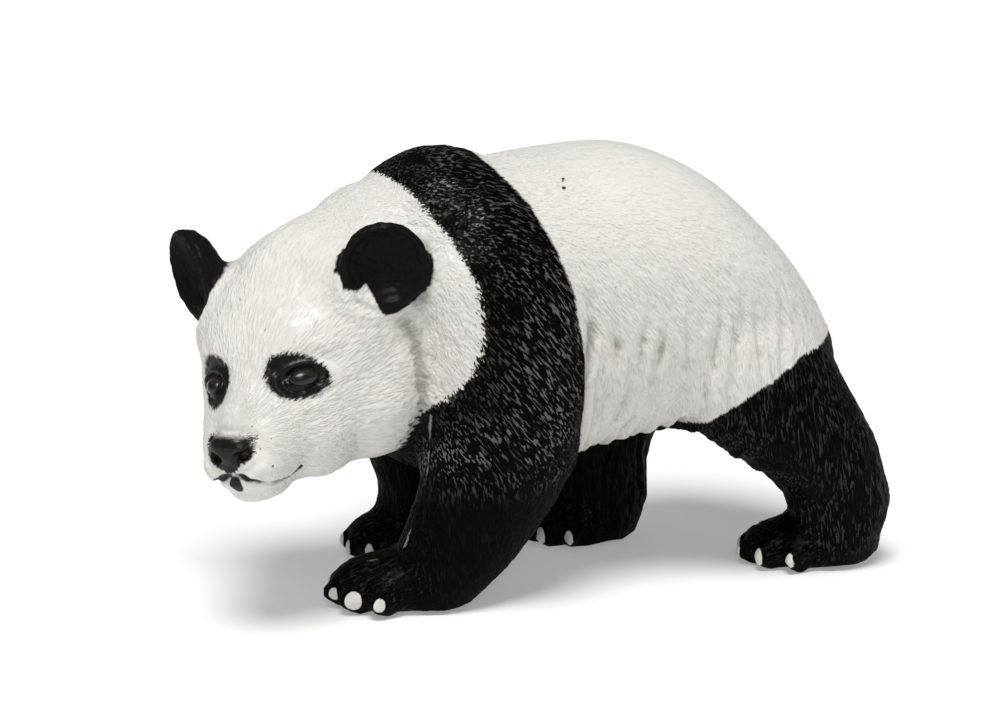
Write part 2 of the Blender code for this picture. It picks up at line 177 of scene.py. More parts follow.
def from_line(points, line):
    """Each point's distance to a chain of straight pieces."""
    line = np.array(line, float)
    best = np.full(len(points), np.inf)
    for a, b in zip(line, line[1:]):
        along = np.clip((points - a) @ (b - a) / ((b - a) @ (b - a)), 0, 1)
        best = np.minimum(best, np.linalg.norm(points - a - along[:, None] * (b - a), axis=1))
    return best


# %% [markdown]
# ## A finer skin over the solid
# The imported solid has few, large triangles. A voxel remesh lays an even net of small quads over it, fine
# enough for strands of fur a third of a millimetre wide, and smoothing takes the facets of the solid out of
# the net. Subdivision would keep the facets' pattern, and would spend points where the solid happened to
# have them.

# %% Remesh the solid
SKIN_STEP = 0.225


def on_bench(mesh):
    """The mesh on an object of its own, so that a modifier can work on it."""
    bench = bpy.data.objects.new("worked", mesh)
    bpy.context.scene.collection.objects.link(bench)
    return bench


def taken_off(bench):
    """The mesh as the modifiers left it. The object goes."""
    graph = bpy.context.evaluated_depsgraph_get()
    made = bpy.data.meshes.new_from_object(bench.evaluated_get(graph), depsgraph=graph)
    bpy.data.objects.remove(bench)
    return made


def welded(mesh):
    """A copy of the mesh with its split corners joined."""
    work = bmesh.new()
    work.from_mesh(mesh)
    bmesh.ops.remove_doubles(work, verts=work.verts, dist=MM * 0.001)
    made = bpy.data.meshes.new("welded")
    work.to_mesh(made)
    work.free()
    return made


bench = on_bench(welded(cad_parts["panda"].data))
remesh = bench.modifiers.new("remesh", "REMESH")
remesh.mode = "VOXEL"
remesh.voxel_size = SKIN_STEP * MM
skin = Surface(taken_off(bench))
print("points in the skin:", len(skin.points))

# %% Take out the facets
# The muzzle, the ears, the eyes and the toes keep more of their edges than the rest
in_head = local(skin.points, head_matrix())
fine_forms = nearness(in_head, (0, -18, -5), (11, 9, 9))
for side in (-1, 1):
    (x, y, z), _ = EARS[side]
    fine_forms += 0.7 * nearness(in_head, (side * x, y, z), 9)
    fine_forms += nearness(in_head, (side * 5.7, -13, 1), 4)
for name, (_, _, length, width, height) in PAWS.items():
    in_paw = local(skin.points, paw_matrix(name))
    fine_forms += nearness(in_paw, (0, -length * 0.4, 0), (width * 0.8, length * 0.4, height))
fine_forms = np.clip(fine_forms, 0, 0.9)[:, None]
skin.smooth(int(12 * (0.3 / SKIN_STEP) ** 2), 1 - fine_forms)
skin.smooth(3)
print("facets smoothed")

# %% [markdown]
# ## The eyes, nose and mouth
# On the casting these are crisp: two lids fold round a small dark eye, the nose is a leathery pad with
# comma-shaped nostrils, and the lips part in a fine line. Each is a groove or a swelling with a place in
# the head's frame. Distances to points and lines give the tool's path, so one line of code is one stroke.
# The same stroke raises the thin line down the near fore leg, where the two halves of the mould met.

# %% Carve the face and the mould line
# Middle of each eye in the head's frame, and half the eyeball's width and height
EYES = {1: (6.5, -12.6, 1.4), -1: (5.3, -13.3, 0.9)}
EYE_HALF = (1.6, 0.98)
NOSE = (-0.4, -20.5, -5.4)
# One half of the mouth, from under the nose to its corner
MOUTH = (
    (0, -20.6, -8.1), (1.1, -20.3, -8.2), (2.6, -20.0, -8.8), (3.4, -18.6, -9.4),
    (3.7, -17.2, -9.6), (4.4, -16.0, -9.3), (5.4, -14.6, -8.5),
)


def eye_distance(p, side):
    """0 in the middle of one eye, 1 on the edge of the eyeball, from points in the head's frame."""
    x, _, z = EYES[side]
    across = (side * p[:, 0] - x) - 0.2 * (p[:, 2] - z)
    rise = (p[:, 2] - z) + 0.2 * (side * p[:, 0] - x)
    return np.hypot(across / EYE_HALF[0], rise / EYE_HALF[1]) + 9 * (p[:, 1] > -6)


def carve_face(surface):
    for side in (-1, 1):
        p = local(surface.points, head_matrix())
        eye = eye_distance(p, side)
        p = p * (side, 1, 1)
        x, _, z = EYES[side]
        upper = ease(p[:, 2] - z + 0.2 * (p[:, 0] - x), -0.2, 0.6)
        # Eyeball, the slit round it, the two lids and the fold over the upper one
        depth = 0.16 * np.clip(1 - eye**2, 0, 1) ** 0.7
        depth -= 0.3 * ridge(eye - 1.06, 0.15)
        depth += 0.14 * ridge(eye - 1.4, 0.3) * (0.5 + 0.9 * upper)
        depth -= 0.16 * ridge(eye - 1.95, 0.22) * upper
        # Corner towards the nose
        corner = ((x - 1.8, -13.6, z + 0.2), (x - 2.5, -14.0, z - 0.1))
        depth -= 0.22 * ridge(from_line(p, corner), 0.4)
        # Nostril and the slit beside it
        depth -= 0.55 * nearness(p, (2.0, -20.5, -5.7), (0.95, 1.6, 0.8))
        depth -= 0.3 * ridge(from_line(p, ((2.2, -20.3, -5.2), (3.1, -19.7, -5.0))), 0.4)
        # Lips
        depth -= 0.45 * ridge(from_line(p, MOUTH), 0.3)
        depth += 0.12 * ridge(from_line(p, MOUTH) - 0.6, 0.4)
        surface.points += depth[:, None] * surface.normals()
    p = local(surface.points, head_matrix())
    groove = from_line(p, ((0, -21.6, -6.0), (0, -20.9, -7.6), (0, -20.6, -9.0)))
    surface.points -= (0.35 * ridge(groove, 0.3))[:, None] * surface.normals()


# The line where the mould parted, from the ruff down to the paw
SEAM = ((11.9, -24.2, 24.0), (11.8, -24.4, 22.3), (11.0, -24.5, 17.2), (10.2, -27.0, 8.1), (6.4, -31.2, 5.1))
carve_face(skin)
skin.points += (0.14 * ridge(from_line(skin.points, SEAM), 0.35))[:, None] * skin.normals()
print("face carved, eye", [2 * half for half in EYE_HALF], "mm across and high")

# %% [markdown]
# ## The ears
# Each ear is a shallow cup with a rolled rim, a ring pressed inside the rim and a darker well in the
# middle. Rings round the ear's own axis are drawn with the distance from that axis.

# %% Carve the ears
def carve_ears(surface):
    for side in (-1, 1):
        place = ear_matrix(side)
        p = local(surface.points, place)
        inward = np.array(place)[:3, 1]
        span = np.hypot(p[:, 0], p[:, 2]) / EARS[side][1]
        front = ease(0.9 - p[:, 1], 0, 0.8) * (span < 1.1) * (np.abs(p[:, 1]) < 5)
        depth = 0.12 * ridge(span - 0.72, 0.12) - 0.08 * ridge(span - 0.88, 0.1) + 0.4 * ridge(span, 0.45)
        surface.points += (depth * front)[:, None] * inward


carve_ears(skin)
print("ears carved, radii", [radius for _, radius in EARS.values()])

# %% [markdown]
# ## The way the fur lies
# Fur on the head runs away from the nose. On the back it runs to the tail, on the flanks and legs it runs
# down, and on a paw it runs to the toes. The direction at each point is a blend of such wishes, laid flat
# on the surface. How far each wish holds is kept as a share, because the paint will need the same
# directions for its finest hairs.

# %% Comb directions
def head_egg(p):
    """About 1 on the outside of the head, less inside it, in the head's frame."""
    return np.sqrt((p[:, 0] / 15) ** 2 + ((p[:, 1] + 3) / 17) ** 2 + (p[:, 2] / 14) ** 2)


NOSE_ROOT = (0, -21, -4)
BACKWARD = (0, 1, -0.35)
SHOULDER = (0, 0.62, -0.8)
DOWNWARD = (0, 0.14, -1)
TO_THE_TOES = (-0.25, -0.95, -0.5)


def head_share(own):
    """1 on the head, 0 on the neck, from points in the head's frame."""
    return ease(-head_egg(own), -1.22, -1.02)


def paw_share(points, name):
    """1 on a paw, falling smoothly to 0 up the leg."""
    _, _, length, width, height = PAWS[name]
    reach = (width * 0.8, length * 0.65, height * 1.5)
    return nearness(local(points, paw_matrix(name)), (0, -length * 0.15, 0), reach)


def shoulder_share(points):
    """1 on the fore quarters and high on the flank, 0 low on the flank."""
    return np.maximum(ease(-points[:, 1], 4, 9), ease(points[:, 2], 27, 34))


def comb_shares(points):
    """How far each wish holds at a point: head, paws, back, shoulder. What is left of 1 hangs down."""
    z = points[:, 2]
    own = local(points, head_matrix())
    head = head_share(own)
    for side, ((x, y, up), radius) in EARS.items():
        head = np.maximum(head, ease(radius + 2.2 - np.linalg.norm(own - (side * x, y, up), axis=1), 0, 1))
    paws = np.max([paw_share(points, name) for name in PAWS], axis=0)
    high = ease(z, 36, 50)
    standing = (1 - head) * (1 - paws) * ease(z, 13, 20)
    return {
        "comb_head": head,
        "comb_paws": (1 - head) * paws,
        "comb_back": standing * high,
        "comb_shoulder": standing * (1 - high) * shoulder_share(points),
    }


def comb(points, normals):
    """The way the fur lies at each point, flat on the surface."""
    _, y, z = points.T
    high = ease(z, 36, 50)[:, None]
    rump = ease(y, 18, 27)[:, None]
    low = ease(-z, -20, -13)[:, None]
    shoulder = shoulder_share(points)[:, None]
    flank = shoulder * np.array(SHOULDER) + (1 - shoulder) * np.array(DOWNWARD)
    way = high * np.array(BACKWARD) + (1 - high) * flank + rump * np.array((0, 0.3, -0.8))
    way = way * (1 - low) + low * np.array(DOWNWARD)
    for name, (_, heading, *_) in PAWS.items():
        near = paw_share(points, name)[:, None]
        a = math.radians(heading)
        way = way * (1 - near) + near * np.array((math.sin(a), -math.cos(a), -0.5))
    own = local(points, head_matrix())
    away = own - np.array(NOSE_ROOT)
    away /= np.linalg.norm(away, axis=1, keepdims=True)
    away[:, 2] -= 0.45 * ease(np.abs(own[:, 0]), 5, 11)
    head = head_share(own)[:, None]
    turn = np.array(head_matrix())[:3, :3]
    way = way * (1 - head) + head * (away @ turn.T)
    way -= (way * normals).sum(1, keepdims=True) * normals
    return way / np.maximum(np.linalg.norm(way, axis=1, keepdims=True), 1e-6)


skin_normals = skin.normals()
skin_flow = comb(skin.points, skin_normals)
print("comb directions at", len(skin_flow), "points")

# %% [markdown]
# ## Where the fur is deep
# The maker cut the strands deepest on the black shoulder, where they glint, and a little less on the head,
# the flanks and the legs. The top of the back is nearly smooth. Nose, lips, eyeballs, claws, the cups of the
# ears and the soles have no fur.

# %% Fur depth and bare places
# Where the brush touched beside the claw's own tip, in the paw's frame, and the size of the dab
BRUSHED_CLAWS = {
    ("left_fore", 2): (2.1, -8.5, 0.5),
    ("left_fore", 3): (5.1, -6.2, 0.95),
    ("left_fore", 4): (7.1, -3.2, 0.6),
}
# Size of each claw, from the toe on the panda's right to the one on its left
CLAW_SIZES = (0.9, 0.8, 0.7, 1.1, 0.85)


def claw_places(name):
    """Each claw in the paw's frame: middle, heading, width of its toe, and reach along the toe."""
    _, _, length, width, height = PAWS[name]
    toe = width * 0.138
    for i, size in enumerate(CLAW_SIZES):
        a = math.radians(64 * (i / 4 * 2 - 1) + 8)
        heading = 0.6 * a
        x = math.sin(a) * (width / 2 - toe * 0.7) + math.sin(heading) * toe * 1.8
        y = -math.cos(a) * (length / 2 - toe * 1.3) - math.cos(heading) * toe * 1.8
        brushed = (name, i) in BRUSHED_CLAWS
        if brushed:
            x, y, size = BRUSHED_CLAWS[name, i]
        yield (x, y, height * 0.25), heading, toe * size, 0.5 + 0.6 * size if brushed else 1.8


def claw_distance(points):
    """Millimetres inside the edge of the nearest claw's paint."""
    best = np.full(len(points), -9.0)
    for name in PAWS:
        own = local(points, paw_matrix(name))
        for (x, y, z), heading, toe, reach in claw_places(name):
            across = (own[:, 0] - x) * math.cos(heading) + (own[:, 1] - y) * math.sin(heading)
            along = (own[:, 0] - x) * math.sin(heading) - (own[:, 1] - y) * math.cos(heading)
            rise = own[:, 2] - z
            taper = 0.5 - 0.06 * np.clip(rise, -1, 1)
            spread = np.stack([across / (toe * taper), rise / (0.35 + 0.5 * toe), along / reach])
            best = np.maximum(best, (1 - np.linalg.norm(spread, axis=0)) * toe * 0.45)
    return best


def nose_distance(p):
    """Millimetres inside the edge of the nose's paint, a rounded triangle with its point down."""
    x, z = p[:, 0] - NOSE[0], p[:, 2] - NOSE[2]
    edge = np.minimum((2.75 - 0.74 * np.abs(x) + z) / 1.24, 2.2 - z - 0.06 * x**2)
    edge = np.minimum(edge, 3.3 - np.abs(x))
    return np.where(p[:, 1] < -16.5, edge, -9)


# How high white fur laps over each ear, as (outward, up) in the ear's frame
EAR_ROOTS = {
    1: (
        (-6.0, -2.0), (-4.8, -2.2), (-4.1, -3.6), (-2.1, -3.5), (-1.5, -2.6), (-0.8, -3.4),
        (0.5, -4.8), (1.5, -6.0), (6.0, -6.0),
    ),
    -1: ((-6.0, -4.8), (-1.9, -5.6), (6.0, -7.0)),
}


def ear_distance(points):
    """Millimetres inside the black of the nearest ear."""
    best = np.full(len(points), -9.0)
    for side in (-1, 1):
        own = local(points, ear_matrix(side)) * (side, 1, 1)
        root = own[:, 2] - np.interp(own[:, 0], *np.array(EAR_ROOTS[side]).T)
        radius = EARS[side][1]
        reach = np.linalg.norm(own / (radius, 4.0, radius), axis=1)
        best = np.maximum(best, np.minimum((1.1 - reach) * 5, root))
    return best


def fur_depth(p):
    """How deep the strands are cut at each point."""
    _, y, z = p.T
    own = local(p, head_matrix())
    on_head = ease(-head_egg(own), -1.2, -1.05)
    depth = 0.20 - 0.11 * ease(z, 40, 50) * ease(y, -10, 0)
    depth += 0.06 * ease(-y, 6, 12) * (1 - on_head)
    depth -= 0.02 * on_head
    depth *= 1 - 0.85 * nearness(own, (0, -21, -6), (9, 10, 8))
    cups = np.zeros(len(p))
    for side in (-1, 1):
        ear = local(p, ear_matrix(side))
        cups = np.maximum(cups, nearness(ear, (0, -2.5, 0), (5.4, 3.6, 5.4)))
        depth *= 1 - ease(-eye_distance(own, side), -2.4, -1.8)
    depth *= 1 - cups
    depth *= 1 - ease(nose_distance(own), -0.5, 0.3)
    depth *= 1 - ease(claw_distance(p), -0.6, 0.0)
    depth *= 1 - 0.6 * ease(-z, -5, -2)
    return depth * ease(z, 0.1, 0.9)


skin_depth = fur_depth(skin.points)
print("deepest fur in mm:", round(float(skin_depth.max()), 3))

# %% [markdown]
# ## Combed strands
# Fur on a casting isn't made of hairs but of short overlapping ridges, thick at the root and pointed at the
# tip, each a little higher or lower than the next. One root is kept in each cell of a grid, so that the
# strands are even but not regular. Every point near a root gets the height of that ridge, and the highest
# ridge at a point wins, as shingles do. The ridges are cut down from the surface, so the figure doesn't
# grow. Slower forms go on with them: tufts of a dozen strands, upright folds low on the flank, and locks
# that hang over the edge of the belly.

# %% Strands
def strands(points, normals, flow, depth, tree, spacing, half_length, half_width, seed):
    """Height of the strands at each point, from 0 to 1, and the toss of the strand that lies on top."""
    rng = np.random.default_rng(seed)
    order = rng.permutation(len(points))
    cells = np.floor(points[order] / spacing).astype(np.int64) + 400
    _, first = np.unique(cells[:, 0] * 1000000 + cells[:, 1] * 1000 + cells[:, 2], return_index=True)
    roots = order[first]
    roots = roots[depth[roots] > 0.012]
    toss = rng.random(len(roots))
    angle = (rng.random(len(roots)) - 0.5) * 0.5
    size = 0.75 + 0.5 * rng.random(len(roots))
    near = [[found[1] for found in tree.find_range(points[root], half_length * 1.15)] for root in roots]
    strand = np.repeat(np.arange(len(roots)), [len(found) for found in near])
    point = np.fromiter(chain.from_iterable(near), int)
    ahead = flow[roots]
    aside = np.cross(normals[roots], ahead)
    ahead, aside = (
        np.cos(angle)[:, None] * ahead + np.sin(angle)[:, None] * aside,
        np.cos(angle)[:, None] * aside - np.sin(angle)[:, None] * ahead,
    )
    offset = points[point] - points[roots][strand]
    along = (offset * ahead[strand]).sum(1) / (half_length * size[strand])
    across = (offset * aside[strand]).sum(1) / (half_width * size[strand])
    lift = np.abs((offset * normals[roots][strand]).sum(1))
    width = 1.05 - 0.45 * along
    body = np.clip(1 - (across / width) ** 2, 0, 1) * (lift < 0.7)
    body *= np.clip((1 - along) / 0.45, 0, 1) * np.clip((1 + along) / 0.45, 0, 1)
    height = body * (0.45 + 0.25 * along + 0.3 * toss[strand])
    rank = np.argsort(height, kind="stable")
    top = np.zeros(len(points))
    tone = np.full(len(points), 0.5)
    top[point[rank]] = height[rank]
    tone[point[rank]] = toss[strand[rank]]
    print("strands:", len(roots), "spacing", spacing)
    return np.clip(top, 0, 1), tone


tree = kdtree.KDTree(len(skin.points))
for index, point in enumerate(skin.points):
    tree.insert(point, index)
tree.balance()

# %% Comb tufts, then strands over them
def flank_folds(points):
    """1 low on the flank, where the coat hangs in upright folds, and 0 elsewhere."""
    _, y, z = points.T
    return ease(y, -9, -4) * ease(-y, -24, -16) * ease(-z, -40, -30)


tuft_depth = skin_depth * 0.9 + 0.06 * flank_folds(skin.points) * (skin_depth > 0.05)
tuft_top, _ = strands(skin.points, skin_normals, skin_flow, tuft_depth, tree, 2.2, 2.4, 0.95, 3)
tuft_top = skin.spread(tuft_top, 3)[:, 0]
fur_top, fur_tone = strands(skin.points, skin_normals, skin_flow, skin_depth, tree, 0.62, 1.05, 0.26, 7)
x, y, z = skin.points.T
waves = 0.5 * np.sin(3.6 * y + 1.5 * np.sin(0.45 * z + 0.8 * y)) + 0.5 * np.sin(2.1 * y - 0.3 * z)
folds = 0.3 * (waves - 0.6) * flank_folds(skin.points) * (skin_depth > 0.05)
relief = (fur_top - 1) * skin_depth + (tuft_top - 0.8) * tuft_depth * 0.8 + folds
skin.points += relief[:, None] * skin_normals
# Locks that hang over the edge of the belly
hanging = ease(y, -9, -6) * ease(-y, -13, -9) * ridge(z - 17.9 - 0.15 * y, 2.4) * ease(x, 3, 6)
skin.points[:, 2] -= 0.75 * hanging * np.clip(np.sin(3.7 * y + 1.3 * np.sin(1.7 * y)) + 0.3, 0, 1)
skin.points[:, 2] = np.maximum(skin.points[:, 2], 0)
# The paint turns grey low between the strands with this, as painted shade
skin.note("fur_top", fur_top + (1 - ease(skin_depth, 0, 0.03)))
skin.note("fur_tone", fur_tone)
skin.note("furry", np.clip(skin_depth / 0.15, 0, 1))
print("fur combed")

# %% [markdown]
# ## Fewer triangles where the skin is calm
# The net is even, so it spends as many triangles on a smooth sole as on a strand. Decimation collapses the
# edges whose loss shows least, and a vertex group tells it to hold back on the face, the claws and the side
# that is seen.

# %% Thin the skin
TRIANGLES = 194000


def thinned(surface, keep):
    """The surface in fewer triangles, with the fewest lost where keep is near 1."""
    surface.store()
    bench = on_bench(surface.mesh)
    group = bench.vertex_groups.new(name="open")
    for step in range(11):
        members = np.flatnonzero(np.round(keep * 10) == step).tolist()
        group.add(members, 1 - step / 10, "REPLACE")
    thin = bench.modifiers.new("thin", "DECIMATE")
    thin.vertex_group = "open"
    thin.vertex_group_factor = 1.0
    thin.use_collapse_triangulate = True
    thin.ratio = TRIANGLES / (2 * len(surface.mesh.polygons))
    return Surface(taken_off(bench))


in_head = local(skin.points, head_matrix())
keep = 0.2 + 0.5 * nearness(in_head, (0, -18, -4), (12, 11, 12))
keep += 0.3 * ease(skin_normals @ (0.9, -0.4, 0.25), -0.2, 0.3)
for side in (-1, 1):
    x, y, z = EYES[side]
    keep += 0.4 * nearness(in_head, (side * x, y, z), 4.5)
keep = np.clip(keep + 0.3 * ease(claw_distance(skin.points), -1, 0), 0, 1)
hide = thinned(skin, keep)
print("triangles in the finished skin:", len(hide.mesh.polygons))

# %% [markdown]
# ## Where the paint goes
# A painter's masks have edges at known places on the casting, so each paint is a distance in millimetres to
# its edge, positive inside. The distance is kept at the points, and the material cuts it at zero, so an
# edge is as sharp or as feathered as the finish needs, whatever the size of the triangles. A claw is one
# dab of the brush, so some sit a little beside their toe.

# %% Paint borders
# The black band over the shoulders, front and rear edge, as (height, place along the body)
BAND_FRONT = (
    (18, -44), (22, -30), (24.7, -24.6), (29.2, -21.2), (33.8, -19.8),
    (39.8, -20.3), (44.6, -21.8), (49.5, -24.2), (52, -27),
)
BAND_REAR = (
    (14, 8), (15.5, -4), (17, -6.2), (21.1, -6.6), (27.1, -6.4), (32, -6.9),
    (38.1, -7.7), (42.9, -9.2), (47.8, -11.1), (52.2, -13.8),
)
# Upper edge of the black on the hind legs, as (place along the body, height)
THIGH = ((-2, 12.5), (2, 14.5), (5, 17), (7.8, 19.3), (14, 24), (21.2, 28), (26.4, 28.6), (32, 29.5))


def band_edges(z):
    """The front and the rear of the band at each height."""
    return np.interp(z, *np.array(BAND_FRONT).T), np.interp(z, *np.array(BAND_REAR).T)


def coat_distance(points):
    """Millimetres inside the edge of the black coat: fore legs and shoulder band, hind legs."""
    x, y, z = points.T
    front, rear = band_edges(z)
    band = np.minimum(y - front, rear - y)
    head = np.where(y < -14, (head_egg(local(points, head_matrix())) - 1.03) * 12, 9)
    band = np.where(z < 44, np.minimum(band, head), band)
    chin = np.where((y < -31) & (z > 11), -9, 9)
    ahead = 8 * ease(-x, -3, 5)
    thigh = np.interp(y + ahead, *np.array(THIGH).T) - z
    return np.minimum(chin, np.maximum(band, np.maximum(thigh, np.minimum(14.5 - z, head))))


def sheen(points, shares):
    """How brightly black strands glint: most on the rear of the band, little ahead of it and low on a leg."""
    _, y, z = points.T
    front, rear = band_edges(z)
    behind = 0.25 + 0.75 * ease((y - front) / (rear - front), 0.1, 0.5)
    hanging = 1 - sum(shares.values())
    high = shares["comb_shoulder"] * behind + shares["comb_back"] * (0.3 + 0.3 * behind)
    return high + 0.2 * shares["comb_paws"] + hanging * (0.03 + 0.19 * ease(y, 5, 12))


def raggedness(points):
    """1 where the black meets the ruff and the neck in loose hairs, less where its edge is clean."""
    _, y, z = points.T
    front, rear = band_edges(z)
    return 0.3 + 0.7 * ease((front + rear) / 2 - y, -1, 1) * ease(z, 20, 25)


# Black round each eye, in the head's frame: outward, up, half-length, half-width, tilt
EYE_PATCHES = {1: (5.5, 1.65, 3.5, 2.2, -33), -1: (5.0, 1.3, 3.1, 2.6, 30)}


def patch_distance(p):
    """Millimetres inside the edge of the black round the eyes, in the head's frame."""
    best = np.full(len(p), -9.0)
    for side, (outward, up, long, wide, tilt) in EYE_PATCHES.items():
        a = math.radians(tilt)
        x, z = side * p[:, 0] - outward, p[:, 2] - up
        u, v = x * math.cos(a) + z * math.sin(a), z * math.cos(a) - x * math.sin(a)
        edge = (1 - np.sqrt((u / long) ** 2 + (v / wide) ** 2)) * wide
        best = np.maximum(best, np.where(p[:, 1] < -6, edge, -9))
    return best


def lips_distance(p):
    """Millimetres inside the dark line of the lips, with the spot under the nose."""
    mirrored = np.stack([np.abs(p[:, 0]), p[:, 1], p[:, 2]], axis=1)
    line = 0.33 + 0.16 * nearness(mirrored, (1.8, -20, -8.8), 2.6) - from_line(mirrored, MOUTH)
    spot = 1.0 - np.linalg.norm((p - np.array((0.0, -20.4, -9.3))) / (0.85, 1.5, 1.25), axis=1)
    return np.maximum(line, spot)


hide_in_head = local(hide.points, head_matrix())
hide_normals = hide.normals()
ears = ear_distance(hide.points)
coat = np.maximum(coat_distance(hide.points), ears)
hide.note("coat", coat)
hide.note("eye_patch", patch_distance(hide_in_head))
hide.note("nose", nose_distance(hide_in_head))
hide.note("lips", lips_distance(hide_in_head))
hide.note("claws", claw_distance(hide.points))
hide.note("eyeball", 1 - np.minimum(eye_distance(hide_in_head, 1), eye_distance(hide_in_head, -1)))
hide.note("ragged", np.where(ears > -1.5, 0.2, raggedness(hide.points)))
hide.note("seam", 0.2 - from_line(hide.points, SEAM))
shares = comb_shares(hide.points)
for name, share in shares.items():
    hide.note(name, share)
hide.note("sheen", sheen(hide.points, shares))
# How deep each point lies in a hollow: the paint turns grey there as painted shade
recess = ((hide.spread(hide.points, 14) - hide.points) * hide_normals).sum(1)
recess = hide.spread(recess, 4)[:, 0]
hide.note("recess", np.clip(recess * 4, -1, 1))
print("share of the skin under the black coat:", round(float((coat > 0).mean()), 3))

# %% [markdown]
# ## The finish
# Vinyl figures are sprayed white, then black, then touched in by brush. The white is satin. A grey is mixed
# into it as painted shade low between the strands and in the hollows, where shade falls, with a faint random
# mottle. The black is glossier: the backs of its strands are painted lighter as glints, and a clear coat on
# them catches the lamps as well. The mesh holds strands down to a third of a millimetre, and the shader draws
# the finer hairs: noise that is stretched along the comb's directions and blended by their shares, so that
# drawn and carved hairs lie alike. The shader reads the borders, breaks them up with those hairs, and mixes
# the paints in the order in which they were put on. Plain arithmetic on sockets keeps those steps readable.

# %% Arithmetic on shader sockets
class Shade:
    """An output of a shader node that adds and multiplies like a number."""

    def __init__(self, tree, socket=None):
        self.tree = tree
        self.socket = socket

    def node(self, kind, settings=None, inputs=None, output=0):
        made = self.tree.nodes.new(kind)
        for name, value in (settings or {}).items():
            setattr(made, name, value)
        for key, value in (inputs or {}).items():
            if isinstance(value, Shade):
                self.tree.links.new(value.socket, made.inputs[key])
            else:
                made.inputs[key].default_value = value
        return Shade(self.tree, made.outputs[output])

    def maths(self, operation, *values):
        return self.node("ShaderNodeMath", {"operation": operation}, dict(enumerate(values)))

    def __add__(self, other):
        return self.maths("ADD", self, other)

    def __sub__(self, other):
        return self.maths("SUBTRACT", self, other)

    def __rsub__(self, other):
        return self.maths("SUBTRACT", other, self)

    def __mul__(self, other):
        return self.maths("MULTIPLY", self, other)

    __radd__ = __add__
    __rmul__ = __mul__

    def ease(self, low, high):
        settings = {"interpolation_type": "SMOOTHSTEP"}
        return self.node("ShaderNodeMapRange", settings, {"Value": self, "From Min": low, "From Max": high})

    def noted(self, name):
        """A value that was written at the points."""
        return self.node("ShaderNodeAttribute", {"attribute_name": name}, output="Fac")

    def grain(self, place, scale, detail=2.0, roughness=0.5):
        """Noise from 0 to 1, in waves per millimetre."""
        inputs = {"Vector": place, "Scale": scale, "Detail": detail, "Roughness": roughness}
        return self.node("ShaderNodeTexNoise", {"noise_dimensions": "3D"}, inputs)

    def hair(self):
        """Grain from 0 to 1 for drawn hairs, read at these stretched places."""
        return self.grain(self, 3.8, 1.5, 0.45)

    def vectors(self, operation, *values, output=0):
        return self.node("ShaderNodeVectorMath", {"operation": operation}, dict(enumerate(values)), output)

    def scaled(self, vector, size):
        return self.node("ShaderNodeVectorMath", {"operation": "SCALE"}, {0: vector, "Scale": size})

    def streaks(self, place, way):
        """Hairs along one direction: grain that changes slowly along it and fast across it."""
        way = Vector(way).normalized()
        along = self.vectors("DOT_PRODUCT", place, way, output=1)
        return self.vectors("SUBTRACT", place, self.scaled(way, along * 0.83)).hair()

    def rays(self, place, centre):
        """Hairs along rays from a centre."""
        away = self.vectors("SUBTRACT", place, centre)
        span = self.vectors("LENGTH", away, output=1)
        return self.scaled(self.vectors("NORMALIZE", away), span * 0.18 + 12.0).hair()

    def mixed(self, share, first, second):
        """Two colours, mixed by a share of the second."""
        return self.node("ShaderNodeMix", {"data_type": "RGBA"}, {0: share, 6: first, 7: second}, output=2)


def colour(r, g, b):
    return (r, g, b, 1.0)


# %% Hairs and flecks
# Flecks of dark paint on the white: where, and radius
SPECKS = (
    ((8.3, -5.8, 50.0), 0.22), ((8.4, -5.9, 49.6), 0.16), ((9.4, -6.2, 49.1), 0.26),
    ((15.8, -2.4, 38.1), 0.14), ((11.3, -38.0, 36.5), 0.09), ((11.3, -37.2, 36.7), 0.08),
    ((11.3, -35.9, 37.5), 0.08), ((11.8, -26.0, 30.9), 0.1), ((14.1, -46.9, 25.7), 0.06),
    ((15.3, -46.4, 23.3), 0.08), ((16.3, -45.3, 21.4), 0.11), ((15.5, -45.1, 24.4), 0.06),
    ((14.6, -46.5, 24.7), 0.06),
)


def drawn_hairs(pen, place):
    """Hairs finer than the mesh holds, each along its own part's comb direction."""
    head, paws, back, shoulder = (pen.noted("comb_" + name) for name in ("head", "paws", "back", "shoulder"))
    nose_root = tuple(head_matrix() @ Vector(NOSE_ROOT))
    hair = head * pen.rays(place, nose_root) + paws * pen.streaks(place, TO_THE_TOES)
    hair = hair + back * pen.streaks(place, BACKWARD) + shoulder * pen.streaks(place, SHOULDER)
    return hair + (1 - (head + paws + back + shoulder)) * pen.streaks(place, DOWNWARD)


def flecks(pen, place, fine):
    """1 on a fleck of dark paint."""
    gaps = [pen.vectors("DISTANCE", place, middle, output=1) - radius for middle, radius in SPECKS]
    nearest = gaps[0]
    for gap in gaps[1:]:
        nearest = pen.maths("MINIMUM", nearest, gap)
    return 1 - (nearest + (fine - 0.5) * 0.2).ease(-0.05, 0.07)


# %% Paint material
PAINTS = {
    "white": colour(0.77, 0.755, 0.71),
    # Grey mixed into the white as painted shade between the strands and in the hollows
    "painted_shade_and_mottle": colour(0.34, 0.34, 0.30),
    "black": colour(0.0008, 0.0008, 0.0007),
    # Lighter grey painted on the backs of black strands as a highlight, where they glint
    "glint": colour(0.11, 0.11, 0.10),
    # A light grey painted along the mould line's ridge as its highlight
    "seam highlight": colour(0.24, 0.235, 0.21),
    "eye patch": colour(0.006, 0.006, 0.005),
    "nose": colour(0.008, 0.008, 0.007),
    "lips": colour(0.02, 0.018, 0.017),
    "fleck": colour(0.03, 0.028, 0.026),
    "claw": colour(0.72, 0.71, 0.67),
    "iris": colour(0.013, 0.011, 0.009),
    "pupil": colour(0.003, 0.003, 0.003),
}


